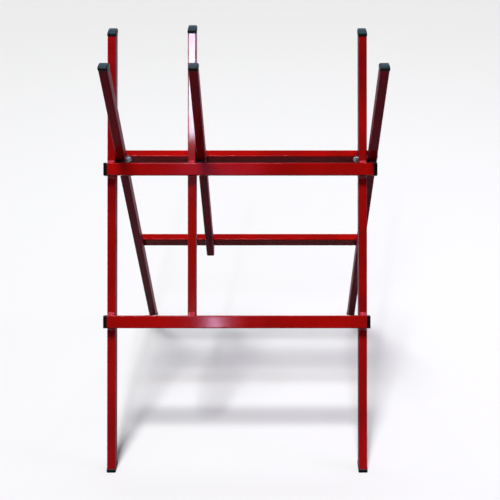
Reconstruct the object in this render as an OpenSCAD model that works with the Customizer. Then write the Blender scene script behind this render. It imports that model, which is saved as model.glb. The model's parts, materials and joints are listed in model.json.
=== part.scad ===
// Folding log saw stand: two welded tube frames that cross at a pair of pivot bolts.
// The floor is z = 0, x runs along the log and the pivot axis stands over the origin.
// The front frame has its feet at -y and the rear frame at +y.

/* [Stand] */
// Height from the floor to the tops of the leg caps
stand_height = 930; // [800:1:1100]
// Height of the pivot axis above the floor
pivot_height = 654; // [520:1:720]
// Lean of each frame from the vertical, in degrees
leg_lean = 28; // [20:0.5:34]
// Distance between the left and the right pair of legs, centre to centre
pair_spacing = 600; // [420:1:900]
// Sideways place of the middle pair, from the middle of the stand
middle_pair_x = -108; // [-130:1:130]
// How much higher the cap of the front middle post stands than the leg caps
front_post_rise = 6.5; // [0:0.5:20]

/* [Tubes] */
// Width of the leg tube, along the log
leg_width = 20; // [18:0.5:30]
// Depth of the leg tube, from front to rear
leg_depth = 30; // [20:0.5:40]
// Wall of the leg tube
leg_wall = 1.5; // [1:0.1:2]
// Outside corner radius of the leg tube
leg_corner = 2.5; // [1.5:0.1:4]
// Height of the bar tube, along the legs
bar_height = 30; // [20:0.5:40]
// Depth of the bar tube, away from the legs
bar_depth = 20; // [15:0.5:30]
// Wall of the bar tube
bar_wall = 1.5; // [1:0.1:2]
// Outside corner radius of the bar tube
bar_corner = 2.5; // [1.5:0.1:4]

/* [Crossbars] */
// Down the legs from the pivot to the top of the front lower bar
front_lower_drop = 374; // [200:1:480]
// Down the legs from the pivot to the top of the rear lower bar
rear_lower_drop = 358; // [200:1:480]
// How far above the bottom of its lower bar the front middle post ends
front_post_short = 8; // [2:0.5:16]
// How far below the bottom of its lower bar the rear middle arm ends
rear_arm_tail = 4; // [0:0.5:40]
// Drop left between a front leg and the rear upper bar that stops it
stop_gap = 0.4; // [0.3:0.1:2]
// How much lower on its legs the front upper bar sits than the rear one
front_bar_lower = 5; // [0:0.5:20]
// Size of a weld bead, along each of the two faces that it joins
weld_size = 4.5; // [4.2:0.1:6]

/* [Caps] */
// Thickness of a leg cap's head
leg_cap_head = 7; // [4:0.5:12]
// How far a leg cap's head stands out past the tube
leg_cap_lip = 0.8; // [0:0.1:1]
// Height of the raised crown on a top cap
cap_crown = 4.5; // [0.5:0.1:6]
// How far the crown is set in from the cap's edge
crown_inset = 2; // [1:0.1:4]
// Thickness of a bar cap's head
bar_cap_head = 6.5; // [3:0.5:10]
// Length of the hollow plug inside a tube
plug_length = 18; // [10:0.5:30]
// Wall of the hollow plug
plug_wall = 1.6; // [1:0.1:2.5]
// Clearance between a plug and the inside of its tube
plug_clearance = 0.1; // [0.05:0.05:0.3]

/* [Pivot] */
// Diameter of a pivot bolt
bolt_d = 8; // [6:0.5:10]
// Radial running clearance of the bolts in the legs
pivot_clearance = 0.08; // [0.05:0.01:0.1]
// Radial clearance of a washer, spacer, nut or ring on the bolt
bolt_slip = 0.2; // [0.1:0.05:0.4]
// Width across the flats of the nut
hex_flats = 13; // [12:0.5:16]
// Height of the bolt's low round head
head_height = 2; // [1.2:0.1:4]
// Diameter of the bolt's head
head_d = 16; // [14:0.5:20]
// Height of the nut, with its collar
nut_height = 8; // [6:0.1:10]
// Height of the collar that holds the nylon ring
nut_collar = 2.6; // [2:0.1:3.5]
// Wall of the nut's collar
collar_wall = 1; // [0.6:0.1:1.2]
// Clearance of the nylon ring in the nut's collar
ring_clearance = 0.1; // [0.05:0.05:0.2]
// Diameter of a washer
washer_d = 16; // [15:0.5:18]
// Thickness of a washer
washer_t = 1.6; // [1:0.1:2]
// Diameter of the spacer between two legs
spacer_d = 18; // [15:0.5:18]
// Thickness of the spacer between two legs
spacer_t = 3; // [2:0.1:6]
// Side clearance on each side of a leg that turns on the bolt
side_clearance = 0.1; // [0.05:0.05:0.3]
// How far the bolt's end stands out of the nut
bolt_end = 2; // [0.5:0.5:6]

/* [Hidden] */

$fn = 48;
red_paint = [0.62, 0.04, 0.03];
black_plastic = [0.07, 0.08, 0.09];
zinc = [0.78, 0.79, 0.80];
nylon = [0.90, 0.89, 0.84];

// Signs along y for a frame, along x for a hand, and along the legs for a bar's edge
front = -1;
rear = 1;
left = -1;
right = 1;
upper_edge = [1];
both_edges = [1, -1];

// Smallest inside corner, where the wall is thicker than the outside corner
least_corner = 0.3;
// How far out a bead's face bulges, where its straight edge would be at one half
weld_bulge_share = 0.6;
// Chamfer of the bolt's head, from its height
head_chamfer_share = 0.6;
// Chamfer of a nut, from the width across its flats
hex_chamfer_share = 0.08;

// A leg tube is cut level, below its top cap and above its foot cap
tube_top = stand_height - cap_crown - leg_cap_head;
tube_bottom = leg_cap_head;
leg_plug_width = leg_width - 2 * (leg_wall + plug_clearance);
leg_plug_depth = leg_depth - 2 * (leg_wall + plug_clearance);

// Each rear leg stands one tube and one spacer to the right of its front leg
leg_gap = spacer_t + 2 * side_clearance;
pair_step = leg_width + leg_gap;
outside_x = pair_spacing / 2 + pair_step / 2 + leg_width / 2;

// The open front legs lean on the rounded upper corner of the rear upper bar
rear_upper_drop = (leg_depth / 2 + bar_corner) * tan(leg_lean) - bar_corner + stop_gap;
front_upper_drop = rear_upper_drop + front_bar_lower;
// An upper bar with its cap runs on to the outside of the other frame's leg
upper_reach = pair_step - bar_cap_head;
bar_plug_depth = bar_depth - 2 * (bar_wall + plug_clearance);
bar_plug_height = bar_height - 2 * (bar_wall + plug_clearance);

// Where the middle tubes end, down their own frame from the pivot
front_post_end = front_lower_drop + bar_height - front_post_short;
rear_arm_end = rear_lower_drop + bar_height + rear_arm_tail;
// The arm's end has room for a bead below its bar only if it runs far enough past it
rear_arm_edges = rear_arm_tail < weld_size ? upper_edge : both_edges;

// Sizes of the pivot hardware, and places along a bolt from under its head
bore_r = bolt_d / 2 + pivot_clearance;
slip_r = bolt_d / 2 + bolt_slip;
hex_r = hex_flats / 2 / cos(30);
hex_chamfer = hex_flats * hex_chamfer_share;
head_chamfer = head_height * head_chamfer_share;
collar_d = hex_flats - 2 * collar_wall;
nut_washer_at = 2 * leg_width + leg_gap + side_clearance;
nut_at = nut_washer_at + washer_t;
nylon_at = nut_at + nut_height - nut_collar;
bolt_length = nut_at + nut_height + bolt_end;

// Long enough to cross the whole stand, before a leg is cut level
lean_reach = stand_height / cos(leg_lean);
slice_span = 2 * (pair_spacing + stand_height);

function leg_x(frame, hand) = hand * pair_spacing / 2 + frame * pair_step / 2;
function middle_x(frame) = middle_pair_x + frame * pair_step / 2;
function inside_corner(corner, wall) = max(corner - wall, least_corner);
// A bar ends flush with its own legs, but an upper bar runs on at the side of the other frame
function bar_end(frame, hand) = leg_x(frame, hand) + hand * leg_width / 2;
function upper_end(frame, hand) = bar_end(frame, hand) + (hand == -frame ? hand * upper_reach : 0);

module rounded_outline(width, depth, corner) {
    square([width - 2 * corner, depth], center = true);
    square([width, depth - 2 * corner], center = true);
    for (side = [-1, 1], end = [-1, 1])
        translate([side * (width / 2 - corner), end * (depth / 2 - corner)]) circle(r = corner);
}

module tube_outline(width, depth, corner, wall) {
    difference() {
        rounded_outline(width, depth, corner);
        rounded_outline(width - 2 * wall, depth - 2 * wall, inside_corner(corner, wall));
    }
}

// Everything between two heights
module level_slice(low, high) {
    translate([-slice_span / 2, -slice_span / 2, low]) cube([slice_span, slice_span, high - low]);
}

// A frame's own axes: z up along its legs from the pivot, x along the log
module on_frame(frame) {
    translate([0, 0, pivot_height]) rotate([frame * leg_lean, 0, 0]) children();
}

// An outline swept up along a leg, from a place below the pivot to past the top
module along_leg(frame, x, below) {
    on_frame(frame) translate([x, 0, -below]) linear_extrude(below + lean_reach) children();
}

// An outline swept along x, drawn with y of the frame to the right and z of the frame upward
module along_log(start, end) {
    translate([start, 0, 0]) rotate([90, 0, 90]) linear_extrude(end - start) children();
}

// The middle of a bar that lies on the outer face of its frame's legs
module bar_place(frame, drop) {
    translate([frame * (leg_depth + bar_depth) / 2, -(drop + bar_height / 2)]) children();
}

// Legs, posts and bars
module leg(frame, hand) {
    x = leg_x(frame, hand);
    difference() {
        intersection() {
            along_leg(frame, x, lean_reach) tube_outline(leg_width, leg_depth, leg_corner, leg_wall);
            level_slice(tube_bottom, tube_top);
        }
        translate([x - leg_width, 0, pivot_height])
            rotate([0, 90, 0]) cylinder(r = bore_r, h = 2 * leg_width);
    }
}

module middle_leg(frame, below, rise) {
    intersection() {
        along_leg(frame, middle_x(frame), below) tube_outline(leg_width, leg_depth, leg_corner, leg_wall);
        level_slice(tube_bottom, tube_top + rise);
    }
}

module crossbar(frame, drop, start, end) {
    on_frame(frame) along_log(start, end) bar_place(frame, drop)
        tube_outline(bar_depth, bar_height, bar_corner, bar_wall);
}

module upper_bar(frame, drop) {
    crossbar(frame, drop, upper_end(frame, left), upper_end(frame, right));
}

module lower_bar(frame, drop) {
    crossbar(frame, drop, bar_end(frame, left), bar_end(frame, right));
}

// A bead fills the corner between a leg's face and a bar's edge, as wide as the flat of the leg
module bead_outline(frame, drop, edge) {
    bulge = weld_size * weld_bulge_share;
    corner = [[0, -bar_corner], [weld_size, -bar_corner], [weld_size, 0], [bulge, bulge], [0, weld_size]];
    difference() {
        bar_place(frame, drop) translate([-frame * bar_depth / 2, edge * bar_height / 2])
            polygon([for (point = corner) [frame * point[0], edge * point[1]]]);
        bar_place(frame, drop) rounded_outline(bar_depth, bar_height, bar_corner);
    }
}

module beads(frame, x, drop, edges) {
    flat_half = leg_width / 2 - leg_corner;
    for (edge = edges)
        on_frame(frame) along_log(x - flat_half, x + flat_half) bead_outline(frame, drop, edge);
}

module weld_beads(frame, upper_drop, lower_drop, middle_edges) {
    for (hand = [left, right]) {
        beads(frame, leg_x(frame, hand), upper_drop, both_edges);
        beads(frame, leg_x(frame, hand), lower_drop, both_edges);
    }
    beads(frame, middle_x(frame), upper_drop, both_edges);
    beads(frame, middle_x(frame), lower_drop, middle_edges);
}

// Caps: a head cut level with the floor, and a hollow plug inside the tube
module leg_plug_piece(frame, x, below, low) {
    intersection() {
        along_leg(frame, x, below)
            tube_outline(leg_plug_width, leg_plug_depth, inside_corner(leg_corner, leg_wall), plug_wall);
        level_slice(low, low + plug_length);
    }
}

module leg_head_piece(frame, x, below, low, high, inset) {
    overhang = leg_cap_lip - inset;
    intersection() {
        along_leg(frame, x, below)
            rounded_outline(leg_width + 2 * overhang, leg_depth + 2 * overhang, leg_corner);
        level_slice(low, high);
    }
}

module top_cap(frame, x, rise = 0) {
    low = tube_top + rise;
    leg_plug_piece(frame, x, 0, low - plug_length);
    leg_head_piece(frame, x, 0, low, low + leg_cap_head, 0);
    leg_head_piece(frame, x, 0, low + leg_cap_head, low + leg_cap_head + cap_crown, crown_inset);
}

module foot_cap(frame, hand) {
    leg_plug_piece(frame, leg_x(frame, hand), lean_reach, tube_bottom);
    leg_head_piece(frame, leg_x(frame, hand), lean_reach, 0, tube_bottom, 0);
}

module bar_cap(frame, drop, end, hand) {
    on_frame(frame) translate([end, 0, 0]) mirror([hand == left ? 1 : 0, 0, 0]) {
        along_log(0, bar_cap_head) bar_place(frame, drop) rounded_outline(bar_depth, bar_height, bar_corner);
        along_log(-plug_length, 0) bar_place(frame, drop)
            tube_outline(bar_plug_depth, bar_plug_height, inside_corner(bar_corner, bar_wall), plug_wall);
    }
}

module upper_bar_cap(frame, drop, hand) {
    bar_cap(frame, drop, upper_end(frame, hand), hand);
}

module lower_bar_cap(frame, drop, hand) {
    bar_cap(frame, drop, bar_end(frame, hand), hand);
}

// Pivot hardware: z of a bolt runs in from under its head, which is on the outside.
// The right bolt's head faces a rear leg, which turns, so it stands off by the side clearance.
module at_bolts() {
    for (hand = [left, right])
        translate([hand * (outside_x + (hand == right ? side_clearance : 0)), 0, pivot_height])
            rotate([0, -hand * 90, 0]) children();
}

// Hexagon with its corners turned down at the far end
module hex_block(height) {
    intersection() {
        cylinder(r = hex_r, h = height, $fn = 6);
        union() {
            cylinder(r = hex_r, h = height - hex_chamfer);
            translate([0, 0, height - hex_chamfer])
                cylinder(r1 = hex_r, r2 = hex_r - hex_chamfer, h = hex_chamfer);
        }
    }
}

module ring(outer_d, height) {
    difference() {
        cylinder(d = outer_d, h = height);
        translate([0, 0, -height]) cylinder(r = slip_r, h = 3 * height);
    }
}

module bolt() {
    mirror([0, 0, 1]) {
        cylinder(d = head_d, h = head_height - head_chamfer);
        translate([0, 0, head_height - head_chamfer])
            cylinder(r1 = head_d / 2, r2 = head_d / 2 - head_chamfer, h = head_chamfer);
    }
    cylinder(d = bolt_d, h = bolt_length);
}

module lock_nut() {
    difference() {
        union() {
            hex_block(nut_height - nut_collar);
            cylinder(d = hex_flats, h = nut_height);
        }
        translate([0, 0, -nut_height]) cylinder(r = slip_r, h = 3 * nut_height);
        translate([0, 0, nut_height - nut_collar]) cylinder(d = collar_d, h = nut_height);
    }
}

// Front frame
module front_left_leg() { color(red_paint) leg(front, left); }
module front_right_leg() { color(red_paint) leg(front, right); }
module front_middle_post() { color(red_paint) middle_leg(front, front_post_end, front_post_rise); }
module front_upper_bar() { color(red_paint) upper_bar(front, front_upper_drop); }
module front_lower_bar() { color(red_paint) lower_bar(front, front_lower_drop); }
module front_weld_beads() {
    color(red_paint) weld_beads(front, front_upper_drop, front_lower_drop, upper_edge);
}
module front_left_top_cap() { color(black_plastic) top_cap(front, leg_x(front, left)); }
module front_middle_top_cap() { color(black_plastic) top_cap(front, middle_x(front), front_post_rise); }
module front_right_top_cap() { color(black_plastic) top_cap(front, leg_x(front, right)); }
module front_left_foot() { color(black_plastic) foot_cap(front, left); }
module front_right_foot() { color(black_plastic) foot_cap(front, right); }
module front_upper_bar_left_cap() { color(black_plastic) upper_bar_cap(front, front_upper_drop, left); }
module front_upper_bar_right_cap() { color(black_plastic) upper_bar_cap(front, front_upper_drop, right); }
module front_lower_bar_left_cap() { color(black_plastic) lower_bar_cap(front, front_lower_drop, left); }
module front_lower_bar_right_cap() { color(black_plastic) lower_bar_cap(front, front_lower_drop, right); }

// Rear frame
module rear_left_leg() { color(red_paint) leg(rear, left); }
module rear_right_leg() { color(red_paint) leg(rear, right); }
module rear_middle_arm() { color(red_paint) middle_leg(rear, rear_arm_end, 0); }
module rear_upper_bar() { color(red_paint) upper_bar(rear, rear_upper_drop); }
module rear_lower_bar() { color(red_paint) lower_bar(rear, rear_lower_drop); }
module rear_weld_beads() {
    color(red_paint) weld_beads(rear, rear_upper_drop, rear_lower_drop, rear_arm_edges);
}
module rear_left_top_cap() { color(black_plastic) top_cap(rear, leg_x(rear, left)); }
module rear_middle_top_cap() { color(black_plastic) top_cap(rear, middle_x(rear)); }
module rear_right_top_cap() { color(black_plastic) top_cap(rear, leg_x(rear, right)); }
module rear_left_foot() { color(black_plastic) foot_cap(rear, left); }
module rear_right_foot() { color(black_plastic) foot_cap(rear, right); }
module rear_upper_bar_left_cap() { color(black_plastic) upper_bar_cap(rear, rear_upper_drop, left); }
module rear_upper_bar_right_cap() { color(black_plastic) upper_bar_cap(rear, rear_upper_drop, right); }
module rear_lower_bar_left_cap() { color(black_plastic) lower_bar_cap(rear, rear_lower_drop, left); }
module rear_lower_bar_right_cap() { color(black_plastic) lower_bar_cap(rear, rear_lower_drop, right); }

// Pivot
module pivot_bolts() { color(zinc) at_bolts() bolt(); }
module pivot_washers() {
    color(zinc) at_bolts() translate([0, 0, nut_washer_at]) ring(washer_d, washer_t);
}
module pivot_spacers() {
    color(black_plastic) for (hand = [left, right])
        translate([hand * pair_spacing / 2 - spacer_t / 2, 0, pivot_height])
            rotate([0, 90, 0]) ring(spacer_d, spacer_t);
}
module pivot_lock_nuts() { color(zinc) at_bolts() translate([0, 0, nut_at]) lock_nut(); }
module lock_nut_rings() {
    color(nylon) at_bolts() translate([0, 0, nylon_at])
        ring(collar_d - 2 * ring_clearance, nut_collar - ring_clearance);
}

front_left_leg();
front_right_leg();
front_middle_post();
front_upper_bar();
front_lower_bar();
front_weld_beads();
front_left_top_cap();
front_middle_top_cap();
front_right_top_cap();
front_left_foot();
front_right_foot();
front_upper_bar_left_cap();
front_upper_bar_right_cap();
front_lower_bar_left_cap();
front_lower_bar_right_cap();
rear_left_leg();
rear_right_leg();
rear_middle_arm();
rear_upper_bar();
rear_lower_bar();
rear_weld_beads();
rear_left_top_cap();
rear_middle_top_cap();
rear_right_top_cap();
rear_left_foot();
rear_right_foot();
rear_upper_bar_left_cap();
rear_upper_bar_right_cap();
rear_lower_bar_left_cap();
rear_lower_bar_right_cap();
pivot_bolts();
pivot_washers();
pivot_spacers();
pivot_lock_nuts();
lock_nut_rings();
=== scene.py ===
import json
import math
import random

import bmesh
import bpy
from mathutils import Matrix, Vector


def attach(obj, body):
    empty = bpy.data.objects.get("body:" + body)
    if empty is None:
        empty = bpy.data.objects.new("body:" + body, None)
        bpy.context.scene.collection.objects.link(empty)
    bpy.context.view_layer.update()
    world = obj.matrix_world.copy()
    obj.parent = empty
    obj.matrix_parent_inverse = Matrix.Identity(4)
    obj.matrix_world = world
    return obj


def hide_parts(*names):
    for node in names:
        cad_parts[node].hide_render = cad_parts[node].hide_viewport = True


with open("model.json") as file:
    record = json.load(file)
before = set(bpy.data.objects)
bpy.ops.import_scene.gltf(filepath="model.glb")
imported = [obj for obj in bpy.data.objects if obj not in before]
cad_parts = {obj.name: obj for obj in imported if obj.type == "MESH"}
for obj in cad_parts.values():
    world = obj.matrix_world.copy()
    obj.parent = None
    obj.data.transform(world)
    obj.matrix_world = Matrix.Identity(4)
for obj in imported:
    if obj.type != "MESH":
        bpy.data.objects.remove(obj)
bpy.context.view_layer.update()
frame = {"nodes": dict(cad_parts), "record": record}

scene = bpy.context.scene
mm = 0.001
nodes = frame["nodes"]
print("frame loaded:", len(nodes), "nodes")

# the stand's own sizes in mm, as in the CAD part
stand = {
    "pivotHeight": 654,
    "height": 930,
    "lean": math.radians(28),
    "pairSpacing": 600,
    "pairStep": 23.2,        # from a front leg to the rear leg beside it
    "middleX": -108,
    "postRise": 6.5,         # of the front middle post over the legs
    "legWidth": 20,
    "legDepth": 30,
    "legCorner": 2.5,
    "barHeight": 30,
    "barDepth": 20,
    "barCorner": 2.5,
    "wallAndClearance": 1.6,
    "turnClearance": 0.1,    # between a bolt's head and the leg that turns
    "drop": {                # down the legs from the pivot to the top of a bar
        "front": {"upper": 12.205, "lower": 374},
        "rear": {"upper": 7.205, "lower": 358},
    },
}
frameSign = {"front": -1, "rear": 1}
handSign = {"left": -1, "middle": 0, "right": 1}


def legX(frameName, hand):
    middle = stand["middleX"] if hand == "middle" else handSign[hand] * stand["pairSpacing"] / 2
    return middle + frameSign[frameName] * stand["pairStep"] / 2


def frameMatrix(frameName):
    # from a frame's own axes (z up its legs, in mm) to the stand's axes in metres
    turn = Matrix.Rotation(frameSign[frameName] * stand["lean"], 4, "X")
    return Matrix.Translation((0, 0, stand["pivotHeight"] * mm)) @ turn @ Matrix.Scale(mm, 4)


def toLinear(hexColour):
    parts = [int(hexColour[i:i + 2], 16) / 255 for i in (1, 3, 5)]
    return [p / 12.92 if p <= 0.04045 else ((p + 0.055) / 1.055) ** 2.4 for p in parts] + [1.0]


def setInputs(tree, node, inputs):
    # a socket is linked, anything else is a constant that goes straight on the input
    for name, value in inputs.items():
        if isinstance(value, bpy.types.NodeSocket):
            tree.links.new(value, node.inputs[name])
        else:
            node.inputs[name].default_value = value


def addNode(tree, kind, inputs=None, **settings):
    node = tree.nodes.new(kind)
    for name, value in settings.items():
        setattr(node, name, value)
    setInputs(tree, node, inputs or {})
    return node


def between(band, ends=(0.0, 1.0)):
    # what a map range takes: a band of the incoming value, and what its two ends become
    return {"From Min": band[0], "From Max": band[1], "To Min": ends[0], "To Max": ends[1]}


def addSeen(tree):
    # 1 for a ray that shows something to the eye, straight, mirrored or through glass, and 0 for plain light
    path = addNode(tree, "ShaderNodeLightPath")
    direct = addNode(tree, "ShaderNodeMath",
                     {0: path.outputs["Is Camera Ray"], 1: path.outputs["Is Glossy Ray"]},
                     operation="MAXIMUM")
    seen = addNode(tree, "ShaderNodeMath",
                   {0: direct.outputs[0], 1: path.outputs["Is Transmission Ray"]}, operation="MAXIMUM")
    return seen.outputs[0]


def newMaterial(name):
    material = bpy.data.materials.new(name)
    material.use_nodes = True
    tree = material.node_tree
    return material, tree, tree.nodes["Principled BSDF"]


# Most of a noise's values lie in this band
noiseBand = (0.3, 0.7)

# Gloss enamel sprayed on drawn steel tube: an even deep red with a wet highlight, the tube's faint die
# lines and an orange peel under it, and painted shade, near black, where the tubes meet
enamel = {
    # coat: where it lies thin, and where it is full, but on the beads a painted pink highlight and the full
    # red; patchSize: mm over which that drifts
    # sheen: a painted tint on what the enamel mirrors, colder on the legs
    # the share given for the corners: how much of the painted corner shade a run takes
    "runs": {
        "legs": {
            "coat": ("#880a07", "#a60c08"),
            "patchSize": 140,
            "shadeShare": 1.0,
            "lineStretch": (1, 1, 80),
            "roughness": (0.10, 0.17),
            "sheen": "#ccacff",
        },
        "post": {
            "coat": ("#880a07", "#a60c08"),
            "patchSize": 140,
            "shadeShare": 1.0,
            "lineStretch": (1, 1, 80),
            "roughness": (0.10, 0.115),
            "sheen": "#ffffff",
        },
        "bars": {
            "coat": ("#950a07", "#b00c08"),
            "patchSize": 140,
            "shadeShare": 0.7,
            "lineStretch": (80, 1, 1),
            "roughness": (0.085, 0.12),
            "sheen": "#ead4f8",
        },
        "beads": {
            # the pink is a painted highlight, in small patches over the full red
            "coat": ("#dc4e62", "#a80f0c"),
            "patchSize": 5,
            "shadeShare": 0.4,
            "lineStretch": (1, 1, 1),
            "roughness": (0.10, 0.17),
            "sheen": "#ffffff",
        },
    },
    # the first colour: painted shade in the corners beside the welds; the reach: mm out from them that it
    # runs
    # specular: held low, so that the pale floor doesn't wash out the red
    "frames": {
        "front": {"paintedShadeAndSheen": "#1c0807", "shadeReach": 13, "specular": 0.11},
        "rear": {"paintedShadeAndSheen": "#100607", "shadeReach": 22, "specular": 0.08},
    },
    "patchBand": (0.36, 0.64),                # of the noise, from a thin coat to a full one
    "cornerBand": (0.3, 0.85),                # of how open a place is, from full painted shade to none
    "lineWidth": 2.2,        # mm, real die lines are about 0.3 mm, drawn coarser so that they show
    "lineHeight": 0.02,      # mm
    "peelSize": 4.5,         # mm, real orange peel is 1 to 2 mm, drawn coarser so that it shows
    "peelHeight": 0.05,      # mm
    "bumpStrength": 0.5,
    "smudgeSize": 35,        # mm, handling marks in the gloss
    "ior": 1.48,
    "polish": 0.5,           # specular of the post above the pivot, where work rubs it smooth
    "polishHeight": (691, 714),               # mm over which it comes in
    "sideBand": (0.6, 0.95),                  # of how far a face looks sideways, from the full coat to dry overspray with a painted sheen
    "sideRoughness": 0.46,   # the legs' sides only caught dry overspray, which is dull
    "oversprayAndSheen": "#7c1440",  # a painted cold sheen on the sides
    "sideSheenShare": 0.6,
}


def makeEnamel(frameName, run):
    material, tree, shader = newMaterial(f"redGlossEnamelSprayed_{frameName}_{run}")
    spray = enamel["runs"][run]
    setting = enamel["frames"][frameName]
    surface = addNode(tree, "ShaderNodeTexCoord")
    place = surface.outputs["Object"]
    patch = addNode(tree, "ShaderNodeTexNoise",
                    {"Vector": place, "Scale": 1 / (spray["patchSize"] * mm), "Detail": 3.0})
    depth = addNode(tree, "ShaderNodeMapRange",
                    {"Value": patch.outputs["Fac"], **between(enamel["patchBand"])})
    thinCoatAndHighlight, full = spray["coat"]
    coat = addNode(tree, "ShaderNodeMix",
                   {"Factor": depth.outputs["Result"], "A": toLinear(thinCoatAndHighlight), "B": toLinear(full)},
                   data_type="RGBA")
    facing = addNode(tree, "ShaderNodeSeparateXYZ", {"Vector": surface.outputs["Normal"]})
    sideways = addNode(tree, "ShaderNodeMath", {0: facing.outputs["X"]}, operation="ABSOLUTE")
    oversprayAndSheen = addNode(tree, "ShaderNodeMapRange",
                        {"Value": sideways.outputs[0], **between(enamel["sideBand"])})
    # painted reflection: a cold purple sheen mixed onto the faces that look sideways
    cold = addNode(tree, "ShaderNodeMath",
                   {0: oversprayAndSheen.outputs["Result"], 1: enamel["sideSheenShare"]}, operation="MULTIPLY")
    withSideSheen = addNode(tree, "ShaderNodeMix",
                      {"Factor": cold.outputs[0], "A": coat.outputs["Result"],
                       "B": toLinear(enamel["oversprayAndSheen"])}, data_type="RGBA")
    # painted shade: a near-black tone in the corners, where the tubes meet
    corner = addNode(tree, "ShaderNodeAmbientOcclusion", {"Distance": setting["shadeReach"] * mm}, samples=8)
    unshaded = addNode(tree, "ShaderNodeMapRange",
                    {"Value": corner.outputs["AO"],
                     **between(enamel["cornerBand"], (1 - spray["shadeShare"], 1.0))})
    colour = addNode(tree, "ShaderNodeMix",
                     {"Factor": unshaded.outputs["Result"], "A": toLinear(setting["paintedShadeAndSheen"]),
                      "B": withSideSheen.outputs["Result"]}, data_type="RGBA")
    smudge = addNode(tree, "ShaderNodeTexNoise",
                     {"Vector": place, "Scale": 1 / (enamel["smudgeSize"] * mm), "Detail": 4.0})
    gloss = addNode(tree, "ShaderNodeMapRange",
                    {"Value": smudge.outputs["Fac"], **between(noiseBand, spray["roughness"])})
    dulled = addNode(tree, "ShaderNodeMix",
                     {"Factor": oversprayAndSheen.outputs["Result"], "A": gloss.outputs["Result"],
                      "B": enamel["sideRoughness"]})
    # the lines follow the tube: turned into the frame's own axes, then drawn out along the run
    along = addNode(tree, "ShaderNodeMapping",
                    {"Vector": place, "Rotation": (frameSign[frameName] * stand["lean"], 0, 0),
                     "Scale": spray["lineStretch"]}, vector_type="TEXTURE")
    lines = addNode(tree, "ShaderNodeTexNoise",
                    {"Vector": along.outputs["Vector"], "Scale": 1 / (enamel["lineWidth"] * mm),
                     "Detail": 3.0})
    lineBump = addNode(tree, "ShaderNodeBump",
                       {"Height": lines.outputs["Fac"], "Strength": enamel["bumpStrength"],
                        "Distance": enamel["lineHeight"] * mm})
    peel = addNode(tree, "ShaderNodeTexNoise",
                   {"Vector": place, "Scale": 1 / (enamel["peelSize"] * mm), "Detail": 1.0})
    bump = addNode(tree, "ShaderNodeBump",
                   {"Height": peel.outputs["Fac"], "Strength": enamel["bumpStrength"],
                    "Distance": enamel["peelHeight"] * mm, "Normal": lineBump.outputs["Normal"]})
    setInputs(tree, shader,
              {"Base Color": colour.outputs["Result"], "Roughness": dulled.outputs["Result"],
               "Normal": bump.outputs["Normal"], "IOR": enamel["ior"],
               "Specular IOR Level": setting["specular"], "Specular Tint": toLinear(spray["sheen"])})
    if run == "post":
        height = addNode(tree, "ShaderNodeSeparateXYZ", {"Vector": place})
        rubbed = [z * mm for z in enamel["polishHeight"]]
        polish = addNode(tree, "ShaderNodeMapRange",
                         {"Value": height.outputs["Z"],
                          **between(rubbed, (setting["specular"], enamel["polish"]))})
        setInputs(tree, shader, {"Specular IOR Level": polish.outputs["Result"]})
    return material


# Soft polyethylene, moulded in a spark-eroded tool: near black, a dull sheen and a fine grain, with
# a painted blue-grey reflection on the faces that look up
plug = {
    "black": "#05080a",
    "scuff": "#0d1417",
    # painted reflection: a lighter blue-grey on the faces that look up
    "paintedShadeAndSheen": "#2c3f4a",
    "scuffSize": 9,          # mm
    "scuffBand": (0.45, 0.75),                # of the noise, from clean to scuffed
    "upBand": (0.55, 0.85),                   # of how far a face looks up, from plain black to the painted reflection
    "grainSize": 1.2,        # mm, the real grain is about 0.3 mm, drawn coarser so that it shows
    "grainHeight": 0.04,     # mm
    "bumpStrength": 0.6,
    "roughness": (0.34, 0.44),
    "ior": 1.51,
    "specular": 0.05,        # held low, so that the black sides mirror little
}


def makePlugPlastic():
    material, tree, shader = newMaterial("blackPolyethyleneMoulded")
    surface = addNode(tree, "ShaderNodeTexCoord")
    place = surface.outputs["Object"]
    scuff = addNode(tree, "ShaderNodeTexNoise",
                    {"Vector": place, "Scale": 1 / (plug["scuffSize"] * mm), "Detail": 5.0,
                     "Roughness": 0.6})
    worn = addNode(tree, "ShaderNodeMapRange",
                   {"Value": scuff.outputs["Fac"], **between(plug["scuffBand"])})
    colour = addNode(tree, "ShaderNodeMix",
                     {"Factor": worn.outputs["Result"], "A": toLinear(plug["black"]),
                      "B": toLinear(plug["scuff"])}, data_type="RGBA")
    facing = addNode(tree, "ShaderNodeSeparateXYZ", {"Vector": surface.outputs["Normal"]})
    upward = addNode(tree, "ShaderNodeMapRange",
                     {"Value": facing.outputs["Z"], **between(plug["upBand"])})
    # painted reflection: blue-grey mixed onto the faces that look up
    withTopSheen = addNode(tree, "ShaderNodeMix",
                    {"Factor": upward.outputs["Result"], "A": colour.outputs["Result"],
                     "B": toLinear(plug["paintedShadeAndSheen"])}, data_type="RGBA")
    dull = addNode(tree, "ShaderNodeMapRange",
                   {"Value": scuff.outputs["Fac"], **between(noiseBand, plug["roughness"])})
    grain = addNode(tree, "ShaderNodeTexNoise",
                    {"Vector": place, "Scale": 1 / (plug["grainSize"] * mm), "Detail": 2.0})
    bump = addNode(tree, "ShaderNodeBump",
                   {"Height": grain.outputs["Fac"], "Strength": plug["bumpStrength"],
                    "Distance": plug["grainHeight"] * mm})
    setInputs(tree, shader,
              {"Base Color": withTopSheen.outputs["Result"], "Roughness": dull.outputs["Result"],
               "Normal": bump.outputs["Normal"], "IOR": plug["ior"],
               "Specular IOR Level": plug["specular"]})
    return material


# Zinc plate on cold-headed steel: silver with a cool cast on the bolts, dull grey on the nuts and
# washers, which is painted shade, cloudy where the bath dried
zinc = {
    "bolt": ("#d3d7da", "#aab0b6"),
    # the nuts' darker grey is painted shade
    "nut": ("#8d9399", "#5d646b"),
    "cloudSize": 4,          # mm
    "roughness": (0.22, 0.4),
}


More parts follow.
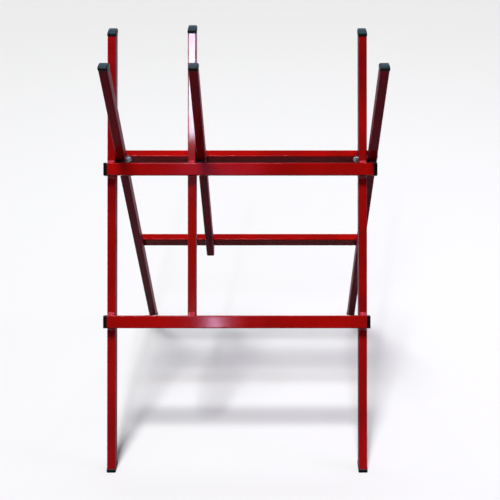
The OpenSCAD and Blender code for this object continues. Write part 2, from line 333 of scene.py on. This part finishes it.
def makeZinc(part):
    material, tree, shader = newMaterial("zincPlatedSteel_" + part)
    place = addNode(tree, "ShaderNodeTexCoord").outputs["Object"]
    cloud = addNode(tree, "ShaderNodeTexNoise",
                    {"Vector": place, "Scale": 1 / (zinc["cloudSize"] * mm), "Detail": 4.0})
    bright, cloudy = zinc[part]
    colour = addNode(tree, "ShaderNodeMix",
                     {"Factor": cloud.outputs["Fac"], "A": toLinear(bright), "B": toLinear(cloudy)},
                     data_type="RGBA")
    dull = addNode(tree, "ShaderNodeMapRange",
                   {"Value": cloud.outputs["Fac"], **between(noiseBand, zinc["roughness"])})
    setInputs(tree, shader,
              {"Base Color": colour.outputs["Result"], "Roughness": dull.outputs["Result"], "Metallic": 1.0})
    return material


# Turned nylon: milky, slightly yellow and waxy
nylon = {
    "milk": "#e6e2d4",
    "shade": "#d6d0bd",
    "driftSize": 6,          # mm
    "roughness": 0.45,
    "ior": 1.53,
}


def makeNylon():
    material, tree, shader = newMaterial("naturalNylonTurned")
    place = addNode(tree, "ShaderNodeTexCoord").outputs["Object"]
    drift = addNode(tree, "ShaderNodeTexNoise",
                    {"Vector": place, "Scale": 1 / (nylon["driftSize"] * mm), "Detail": 2.0})
    colour = addNode(tree, "ShaderNodeMix",
                     {"Factor": drift.outputs["Fac"], "A": toLinear(nylon["milk"]),
                      "B": toLinear(nylon["shade"])}, data_type="RGBA")
    setInputs(tree, shader,
              {"Base Color": colour.outputs["Result"], "Roughness": nylon["roughness"], "IOR": nylon["ior"]})
    return material


tubeEnamel = {(f, run): makeEnamel(f, run) for f in frameSign for run in ("legs", "bars", "beads")}
tubeEnamel["front", "post"] = makeEnamel("front", "post")
slotMaterial = {
    "black_plastic": makePlugPlastic(),
    # the darker zinc, with painted shade, also goes on the washers and the nuts' rings
    "zinc_plated_steel": makeZinc("nut"),
    "nylon": makeNylon(),
}
boltZinc = makeZinc("bolt")
print("materials made:", len(tubeEnamel) + len(slotMaterial) + 1)

# Edges that turn by more than this stay crisp
crispAngle = math.radians(32)


def makePiece(name, rings, slotName, frameName, replaced, finish=None, hollow=False):
    # rings of equal count joined by quads, closed at both ends, or back to the first ring if hollow
    mesh = bpy.data.meshes.new(name)
    form = bmesh.new()
    rows = [[form.verts.new(point) for point in ring] for ring in rings]
    count = len(rows[0])
    pairs = list(zip(rows, rows[1:]))
    if hollow:
        pairs.append((rows[-1], rows[0]))
    for low, high in pairs:
        for i in range(count):
            j = (i + 1) % count
            form.faces.new((low[i], low[j], high[j], high[i]))
    if not hollow:
        form.faces.new(list(reversed(rows[0])))
        form.faces.new(rows[-1])
    bmesh.ops.recalc_face_normals(form, faces=form.faces)
    form.to_mesh(mesh)
    form.free()
    mesh.shade_smooth()
    mesh.set_sharp_from_angle(angle=crispAngle)
    mesh.materials.append(finish or slotMaterial[slotName])
    piece = bpy.data.objects.new(name, mesh)
    scene.collection.objects.link(piece)
    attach(piece, frameName + "_frame")
    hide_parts(replaced)


def quarterTurn(steps):
    return [90 * i / steps for i in range(steps + 1)]


# Corners of the caps, which follow those of the tubes
capCorner = {
    "steps": 6,
    "tighten": 0.5,          # a plug's corner is smaller by this share of its inset
    "least": 0.6,            # mm
}


def plugCorner(corner, overhang):
    return max(corner + min(overhang, 0) * capCorner["tighten"], capCorner["least"])


def roundedOutline(width, depth, corner):
    points = []
    for cx, cy, start in ((1, 1, 0), (-1, 1, 90), (-1, -1, 180), (1, -1, 270)):
        for turn in quarterTurn(capCorner["steps"]):
            angle = math.radians(start + turn)
            points.append((cx * (width / 2 - corner) + corner * math.cos(angle),
                           cy * (depth / 2 - corner) + corner * math.sin(angle)))
    return points


# Leg caps: a head cut level with the floor, hipped at the top of a leg, and the plug inside the tube
legCap = {
    "head": 7,
    "crown": 4.5,
    "lip": 0.8,              # past the sides of the tube
    "plugLength": 18,
    "band": 6.6,             # height of the straight side under the hipped top
    "hip": (1.4, 6.5),       # how far in the top's slope runs, from a side and from front or rear
    "slope": ((0.03, 0), (0.85, 0.9), (1.0, 0.98), (1.15, 1)),     # shares of the way in and of the rise
    "edgeRound": 0.5,
    "footEase": 0.4,         # of a foot's upper edge
    "soleRound": 0.6,
    "soleSteps": 4,
}


def legRing(frameName, x, z, overhang, overhangDeep=None):
    lean = stand["lean"]
    overhangDeep = overhang if overhangDeep is None else overhangDeep
    outline = roundedOutline(stand["legWidth"] + 2 * overhang, stand["legDepth"] + 2 * overhangDeep,
                             plugCorner(stand["legCorner"], overhang))
    middle = -frameSign[frameName] * (z - stand["pivotHeight"]) * math.tan(lean)
    return [Vector((x + px, middle + py / math.cos(lean), z)) * mm for px, py in outline]


def makeTopCap(frameName, hand):
    node = f"{frameName}_{hand}_top_cap"
    x = legX(frameName, hand)
    tubeTop = stand["height"] - legCap["crown"] - legCap["head"]
    if (frameName, hand) == ("front", "middle"):
        tubeTop += stand["postRise"]
    inner = -stand["wallAndClearance"]
    lip, band, edge = legCap["lip"], legCap["band"], legCap["edgeRound"]
    rise = legCap["head"] + legCap["crown"] - band
    profile = [(-legCap["plugLength"], inner), (0, inner), (0, lip - edge), (edge, lip), (band - edge, lip)]
    rings = [legRing(frameName, x, tubeTop + z, overhang) for z, overhang in profile]
    sideHip, deepHip = legCap["hip"]
    for inShare, upShare in legCap["slope"]:
        rings.append(legRing(frameName, x, tubeTop + band + rise * upShare,
                             lip - sideHip * inShare, lip - deepHip * inShare))
    makePiece(node + "_moulded", rings, "black_plastic", frameName, node)


def makeFoot(frameName, hand):
    node = f"{frameName}_{hand}_foot"
    x = legX(frameName, hand)
    inner = -stand["wallAndClearance"]
    head, lip, ease, sole = legCap["head"], legCap["lip"], legCap["footEase"], legCap["soleRound"]
    profile = []
    for turn in quarterTurn(legCap["soleSteps"]):
        angle = math.radians(turn)
        profile.append((sole * (1 - math.cos(angle)), lip - sole * (1 - math.sin(angle))))
    profile += [(head - ease, lip), (head, lip - ease), (head, inner), (head + legCap["plugLength"], inner)]
    rings = [legRing(frameName, x, z, overhang) for z, overhang in profile]
    makePiece(node + "_moulded", rings, "black_plastic", frameName, node)


# Bar caps: a head with rounded edges, a short skirt over the end of the tube, and the plug inside it
barCap = {
    "head": 6.5,
    "plugLength": 18,
    "edgeRound": 1.4,
    "edgeSteps": 5,
    "proud": 0.3,
    "skirt": 2.6,            # over the end of the tube
    "skirtGap": 0.05,
    "bulge": 0.3,            # of the outer face
    "bulgeInset": 7.5,       # from the sides of the tube to the flat middle of the bulge
}


def makeBarCap(frameName, bar, hand):
    node = f"{frameName}_{bar}_bar_{hand}_cap"
    sign = frameSign[frameName]
    drop = stand["drop"][frameName][bar]
    end = legX(frameName, hand) + handSign[hand] * stand["legWidth"] / 2
    if bar == "upper" and handSign[hand] == -sign:
        # this end runs on to the outside of the other frame's leg
        end += handSign[hand] * (stand["pairStep"] - barCap["head"])
    inner = -stand["wallAndClearance"]
    proud, skirt, gap, edge = barCap["proud"], barCap["skirt"], barCap["skirtGap"], barCap["edgeRound"]
    profile = [(-barCap["plugLength"], inner), (0, inner), (0, gap), (-skirt, gap), (-skirt, proud)]
    for turn in quarterTurn(barCap["edgeSteps"]):
        angle = math.radians(turn)
        profile.append((barCap["head"] - barCap["bulge"] - edge * (1 - math.sin(angle)),
                        proud - edge * (1 - math.cos(angle))))
    profile.append((barCap["head"], -barCap["bulgeInset"]))
    toStand = frameMatrix(frameName)
    middleY = sign * (stand["legDepth"] + stand["barDepth"]) / 2
    middleZ = -(drop + stand["barHeight"] / 2)
    rings = []
    for along, overhang in profile:
        corner = plugCorner(stand["barCorner"] + max(overhang, 0), overhang)
        outline = roundedOutline(stand["barDepth"] + 2 * overhang, stand["barHeight"] + 2 * overhang, corner)
        x = end + handSign[hand] * along
        rings.append([toStand @ Vector((x, middleY + py, middleZ + pz)) for py, pz in outline])
    makePiece(node + "_moulded", rings, "black_plastic", frameName, node)


for frameName in frameSign:
    for hand in handSign:
        makeTopCap(frameName, hand)
    for hand in ("left", "right"):
        makeFoot(frameName, hand)
        makeBarCap(frameName, "upper", hand)
        makeBarCap(frameName, "lower", hand)
print("caps moulded")

# Weld beads: short runs of overlapping ripples under the enamel
bead = {
    "size": 7.6,
    "overrun": 1,            # past the flat of the tube, at each end
    "bulge": 0.6,            # 0.5 would be a flat face
    "faceSteps": 8,
    "pitch": 2.6,            # mm from ripple to ripple
    "ripple": 0.10,          # share of the size
    "wander": 6,             # ripples by which the runs start apart
    "sway": 0.04,            # slow drift, as a share of the size
    "swayTurn": 0.9,         # radians of it in each mm
    "step": 0.4,             # mm between sections
    "endRun": 2.0,           # mm over which an end tapers
    "endShare": 0.45,        # of the size that the taper leaves
    "endLeast": 0.02,        # of the taper's length, for a blunt end
    "rootDepth": 1.5,        # into the rounded corner between tube and bar
    "root": ((1.9, 0.0), (1.2, -0.2), (0.35, -0.85)),     # mm from the tube and from the bar's edge
}


def beadRings(frameName, x, drop, edge, seed):
    draw = random.Random(seed)
    half = stand["legWidth"] / 2 - stand["legCorner"] + bead["overrun"]
    wander = draw.uniform(0, bead["wander"])
    rings = []
    sections = int(2 * half / bead["step"])
    sign = frameSign[frameName]
    toStand = frameMatrix(frameName)
    edgeAt = -drop if edge > 0 else -(drop + stand["barHeight"])
    for i in range(sections + 1):
        along = -half + 2 * half * i / sections
        phase = (along / bead["pitch"] + wander) % 1.0
        sway = bead["sway"] * math.sin(along * bead["swayTurn"] + wander)
        size = bead["size"] * (1 - bead["ripple"] * phase + sway)
        fromEnd = min(half - abs(along), bead["endRun"]) / bead["endRun"]
        size *= bead["endShare"] + (1 - bead["endShare"]) * math.sqrt(max(fromEnd, bead["endLeast"]))
        section = [(0.0, -bead["rootDepth"]), (0.0, size)]
        for k in range(1, bead["faceSteps"]):
            share = k / bead["faceSteps"]
            # a parabola, highest half way
            swell = (bead["bulge"] - 0.5) * 4 * share * (1 - share) * size
            section.append((size * share + swell, size * (1 - share) + swell))
        section += [(size, 0.0), *bead["root"]]
        rings.append([toStand @ Vector((x + along, sign * (stand["legDepth"] / 2 + out), edgeAt + edge * up))
                      for out, up in section])
    return rings


def makeBeads(frameName):
    runs = []
    for hand in handSign:
        for bar, drop in stand["drop"][frameName].items():
            for edge in (1, -1):
                if hand == "middle" and bar == "lower" and edge < 0:
                    continue                       # the middle tubes end behind their lower bars
                runs.append((hand, bar, edge, drop))
    for number, (hand, bar, edge, drop) in enumerate(runs):
        rings = beadRings(frameName, legX(frameName, hand), drop, edge, number)
        side = "over" if edge > 0 else "under"
        makePiece(f"{frameName}_{hand}_{bar}_bead_{side}", rings, "red_paint", frameName,
                  f"{frameName}_weld_beads", finish=tubeEnamel[frameName, "beads"])


makeBeads("front")
makeBeads("rear")
print("beads laid")

# Pivot bolts: a low domed head outside the legs and a rolled thread at the end
bolt = {
    "head": 2,
    "headWidth": 16,
    # shares of the head's height and of half its width, from its middle out
    "dome": ((1.0, 0.35), (0.93, 0.62), (0.74, 0.85), (0.45, 0.96), (0.2, 1.0), (0.0, 1.0)),
    "shank": 8,
    "toNut": 44.9,           # from under the head
    "end": 2,                # past the nut
    "pitch": 1.25,
    "threadDepth": 0.55,
    "threadHidden": 1,       # mm of the drawn thread that lie inside the nut
    "threadStep": 0.1,
    "chamfer": 1.1,
    "chamferSlope": 0.8,
    "around": 72,            # points round a section
}


def boltSection(hand, z, radius):
    # z runs in from under the head; radius is a number or follows the angle
    outside = (stand["pairSpacing"] + stand["pairStep"] + stand["legWidth"]) / 2
    if hand == "right":
        outside += stand["turnClearance"]
    points = []
    for i in range(bolt["around"]):
        angle = 2 * math.pi * i / bolt["around"]
        r = radius(angle) if callable(radius) else radius
        x = handSign[hand] * (outside - z)
        points.append(Vector((x, r * math.cos(angle), stand["pivotHeight"] + r * math.sin(angle))) * mm)
    return points


def makeBolt(hand):
    core = bolt["shank"] / 2
    rings = []
    for upShare, outShare in bolt["dome"]:
        rings.append(boltSection(hand, -bolt["head"] * upShare, bolt["headWidth"] / 2 * outShare))
    rings.append(boltSection(hand, 0, core))
    tip = bolt["toNut"] + nut["height"] + bolt["end"]
    threadFrom = tip - bolt["end"] - bolt["threadHidden"]
    steps = int((tip - threadFrom) / bolt["threadStep"])
    for i in range(steps + 1):
        z = threadFrom + (tip - threadFrom) * i / steps
        taper = max(0, bolt["chamfer"] - (tip - z)) * bolt["chamferSlope"]

        def ridge(angle, z=z, taper=taper):
            turn = (z / bolt["pitch"] - angle / (2 * math.pi)) % 1.0
            return core - max(bolt["threadDepth"] * abs(2 * turn - 1), taper)

        rings.append(boltSection(hand, z, ridge))
    makePiece(f"pivot_bolt_{hand}_cold_headed", rings, "zinc_plated_steel", "front", "pivot_bolts",
              finish=boltZinc)


# Lock nuts: hexagons turned down at their corners, with a thin round collar
nut = {
    "flats": 13,
    "height": 8,
    "bore": 8.4,
    "boreEase": 0.5,
    "turnShare": 0.96,       # of the flats, where the turned cone meets an end
    "turnAngle": math.radians(30),
    "turnSteps": (0.0, 0.15, 0.3, 0.45, 0.6),             # mm from an end
    "collar": 2.6,
    "collarWall": 1,
    "collarRound": ((0.955, 1.1), (0.93, 0.5), (0.88, 0)),     # shares of half the flats, mm under the top
}


def hexRadius(angle):
    across = (angle + math.pi / 6) % (math.pi / 3) - math.pi / 6
    return nut["flats"] / 2 / math.cos(math.pi / 6 - abs(across))


def turnedHex(fromEnd):
    # the hexagon cut by the cone that takes its corners down
    cone = nut["flats"] / 2 * nut["turnShare"] + fromEnd / math.tan(nut["turnAngle"])
    return lambda angle: min(hexRadius(angle), cone)


def makeNut(hand):
    at = bolt["toNut"]
    height, ease = nut["height"], nut["boreEase"]
    hexTop = height - nut["collar"]
    bore = nut["bore"] / 2
    rim = nut["flats"] / 2
    inside = rim - nut["collarWall"]
    rings = [boltSection(hand, at + ease, bore), boltSection(hand, at, bore + ease)]
    for fromEnd in nut["turnSteps"]:
        rings.append(boltSection(hand, at + fromEnd, turnedHex(fromEnd)))
    for fromEnd in reversed(nut["turnSteps"]):
        rings.append(boltSection(hand, at + hexTop - fromEnd, turnedHex(fromEnd)))
    collar = [(rim * share, height - under) for share, under in nut["collarRound"]]
    collar.insert(0, (collar[0][0], hexTop))
    collar += [(inside, height), (inside, hexTop), (bore, hexTop)]
    for radius, z in collar:
        rings.append(boltSection(hand, at + z, radius))
    makePiece(f"pivot_nut_{hand}_cold_headed", rings, "zinc_plated_steel", "front", "pivot_lock_nuts",
              hollow=True)


for hand in ("left", "right"):
    makeBolt(hand)
    makeNut(hand)
print("bolts and nuts made")

# the CAD solids that stay: tubes, washers, spacers and the nuts' rings
for entry in frame["record"]["subparts"]:
    node = entry["node"]
    if entry["material_slot"] == "red_paint":
        run = {"bar": "bars", "post": "post"}.get(node.split("_")[-1], "legs")
        finish = tubeEnamel[node.split("_")[0], run]
    else:
        finish = slotMaterial[entry["material_slot"]]
    for slot in nodes[node].material_slots:
        slot.material = finish
print("solids coated")

# Floor: pale paper to the eye, but its bounce is dim and a little warm, so that the undersides stay dark
floor = {
    "pale": "#e9e9e8",
    "bounce": "#40343c",
    "roughness": 0.9,
    "half": 150,             # metres, so that it runs on to the horizon
}


def makeFloor():
    material, tree, shader = newMaterial("palePaperFloor")
    colour = addNode(tree, "ShaderNodeMix",
                     {"Factor": addSeen(tree), "A": toLinear(floor["bounce"]), "B": toLinear(floor["pale"])},
                     data_type="RGBA")
    setInputs(tree, shader,
              {"Base Color": colour.outputs["Result"], "Roughness": floor["roughness"],
               "Specular IOR Level": 0.0})
    half = floor["half"]
    corners = [(-half, -half, 0), (half, -half, 0), (half, half, 0), (-half, half, 0)]
    mesh = bpy.data.meshes.new("floor")
    mesh.from_pydata(corners, [], [(0, 1, 2, 3)])
    mesh.materials.append(material)
    ground = bpy.data.objects.new("floor", mesh)
    scene.collection.objects.link(ground)


makeFloor()

# Light: a broad even light from high in front, soft boxes that draw the gloss on the post and the bars,
# a cold one at the right for the sides of the legs, and a rim light behind
light = {
    "keyFrom": (-0.10, -0.18, 0.98),
    "keyLevel": 2.86,        # pi would show a face square to it as its own colour
    "keySpread": 15,         # degrees across, for soft shadows
    "aim": (0, 0, 0.62),
    "boxes": {               # one end, other end, width in metres, watts, colour
        "postLight": ((-0.40, -2.7, 2.62), (-0.45, -2.7, 4.1), 0.1, 27, "#e4e8ff"),
        "upperLight": ((-0.46, -2.7, 2.36), (0.0, -2.7, 2.36), 0.12, 0.5, "#c9c6ff"),
        "lowerLight": ((-0.245, -2.7, 1.42), (-0.205, -2.7, 1.42), 0.14, 3.0, "#ffe4ee"),
        "sideLight": ((2.6, -0.5, 1.7), (2.6, 0.5, 1.7), 0.5, 10, "#e8c8ff"),
        "rimLight": ((-0.9, 1.7, 3.1), (0.9, 1.7, 3.1), 0.35, 16, "#e6efff"),
    },
}


def addLamp(name, kind, place, turn):
    lamp = bpy.data.lights.new(name, kind)
    holder = bpy.data.objects.new(name, lamp)
    holder.location = place
    holder.rotation_euler = turn.to_euler()
    scene.collection.objects.link(holder)
    return lamp


def addStrip(name, oneEnd, otherEnd, width):
    # a long soft box between two points, turned to face the pivot
    oneEnd, otherEnd = Vector(oneEnd), Vector(otherEnd)
    middle = (oneEnd + otherEnd) / 2
    along = (otherEnd - oneEnd).normalized()
    side = along.cross(middle - Vector(light["aim"])).normalized()
    strip = addLamp(name, "AREA", middle, Matrix((side, along, side.cross(along))).transposed())
    strip.shape = "RECTANGLE"
    strip.size = width
    strip.size_y = (otherEnd - oneEnd).length
    return strip


def makeLight():
    keyFrom = Vector(light["keyFrom"])
    key = addLamp("broadLight", "SUN", keyFrom, (-keyFrom).to_track_quat("-Z", "Y"))
    key.energy = light["keyLevel"]
    key.angle = math.radians(light["keySpread"])
    for name, (oneEnd, otherEnd, width, power, colour) in light["boxes"].items():
        box = addStrip(name, oneEnd, otherEnd, width)
        box.energy = power
        box.color = toLinear(colour)[:3]


# Room: a grey that fills the shadows, with a pale wall round it that only the eye and the gloss see
room = {
    "grey": 0.11,
    "wall": 0.87,
    "wallTop": (12, 24),     # degrees above the horizon over which the wall fades out
}


def makeRoom():
    world = bpy.data.worlds.new("room")
    scene.world = world
    world.use_nodes = True
    tree = world.node_tree
    toward = addNode(tree, "ShaderNodeTexCoord").outputs["Generated"]
    height = addNode(tree, "ShaderNodeSeparateXYZ", {"Vector": toward})
    fade = [math.sin(math.radians(angle)) for angle in room["wallTop"]]
    wall = addNode(tree, "ShaderNodeMapRange",
                   {"Value": height.outputs["Z"], **between(fade, (room["wall"], room["grey"]))})
    level = addNode(tree, "ShaderNodeMix",
                    {"Factor": addSeen(tree), "A": room["grey"], "B": wall.outputs["Result"]})
    setInputs(tree, tree.nodes["Background"], {"Color": (1, 1, 1, 1), "Strength": level.outputs["Result"]})


makeLight()
makeRoom()
print("floor and light set")

# Camera, from the fit to the photograph's 500 x 500 frame
view = {
    "at": (0.069, -2.101, 1.504),
    "pitchDown": 27.56,
    "focalPixels": 938.65,
    "principalX": 270.9,
    "frame": 500,
    "sensor": 36,            # mm
}
camera = bpy.data.cameras.new("photoView")
camera.sensor_width = view["sensor"]
camera.lens = view["focalPixels"] / view["frame"] * view["sensor"]
camera.shift_x = (view["frame"] / 2 - view["principalX"]) / view["frame"]
eye = bpy.data.objects.new("photoView", camera)
eye.location = view["at"]
eye.rotation_euler = (math.radians(90 - view["pitchDown"]), 0, 0)
scene.collection.objects.link(eye)
scene.camera = eye

scene.view_settings.view_transform = "Standard"
